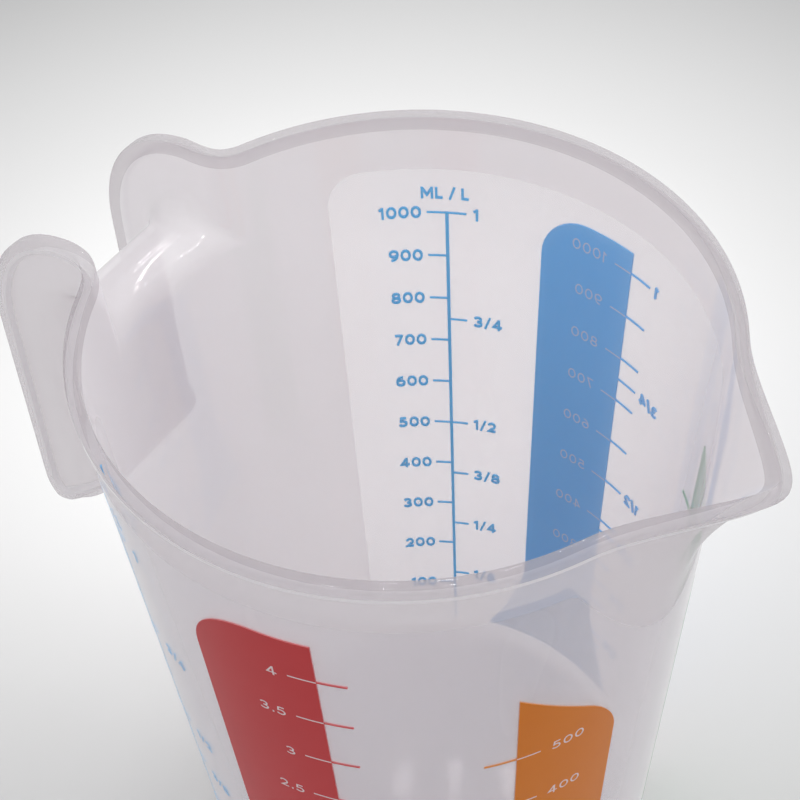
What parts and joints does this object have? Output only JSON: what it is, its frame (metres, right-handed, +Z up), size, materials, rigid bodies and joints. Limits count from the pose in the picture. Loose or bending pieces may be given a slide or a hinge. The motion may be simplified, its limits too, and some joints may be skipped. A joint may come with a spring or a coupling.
{
  "type": "measuring jug",
  "caption": "Tapered translucent plastic measuring jug with a pouring spout, an open channel handle with a thumb rest, and printed colour scales on a wrapped label.",
  "frame": {"origin": "centre of the round flat underside, on the surface that the jug stands on", "axes": "+Z up along the axis of the tapered wall, +X towards the spout, handle towards -X"},
  "size_m": [0.1566, 0.1164, 0.1551],
  "materials": {
    "frosted_polypropylene": "smooth, slightly cloudy translucent moulding",
    "label_film": "thin clear film bonded to the wall",
    "red_ink": "printed ink",
    "blue_ink": "printed ink",
    "orange_ink": "printed ink",
    "green_ink": "printed ink"
  },
  "bodies": {
    "root": {"jug_body": "frosted_polypropylene", "label_film": "label_film", "red_cup_scale": "red_ink", "blue_millilitre_scale": "blue_ink", "orange_dry_scale": "orange_ink", "green_dry_scale": "green_ink", "inside_litre_scale": "blue_ink", "outside_litre_scale": "blue_ink"}
  },
  "joints": []
}
